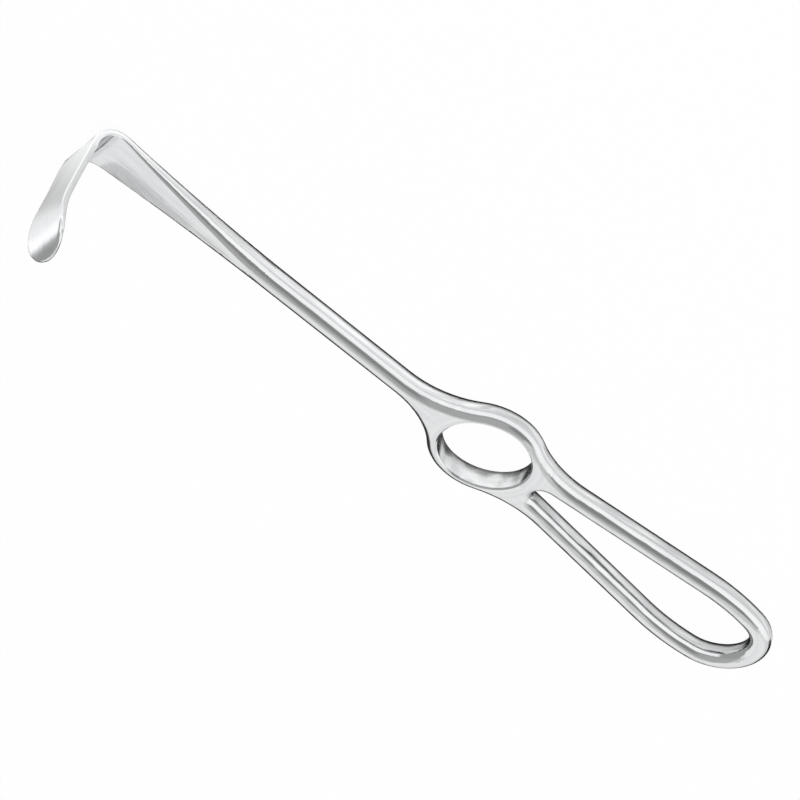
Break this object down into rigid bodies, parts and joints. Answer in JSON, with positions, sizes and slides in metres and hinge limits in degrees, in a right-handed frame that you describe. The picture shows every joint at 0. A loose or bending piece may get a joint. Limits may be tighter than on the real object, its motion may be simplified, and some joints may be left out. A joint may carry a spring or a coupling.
{
  "type": "handheld surgical retractor",
  "caption": "Slim one-piece steel retractor: pear-shaped loop and finger ring on a straight shaft that flares into a spoon-like blade bent square to it, with a curled round lip.",
  "frame": {"origin": "on the axis of the finger ring, in the plane of the handle's flat back, on which the instrument rests", "axes": "+X along the shaft toward the blade, +Z square to the handle, toward the side to which the blade is bent, +Y across the handle"},
  "size_m": [0.2183, 0.0298, 0.0387],
  "materials": {
    "steel": "satin stainless steel, polished along the rounded edges"
  },
  "bodies": {
    "root": {"retractor": "steel"}
  },
  "joints": []
}
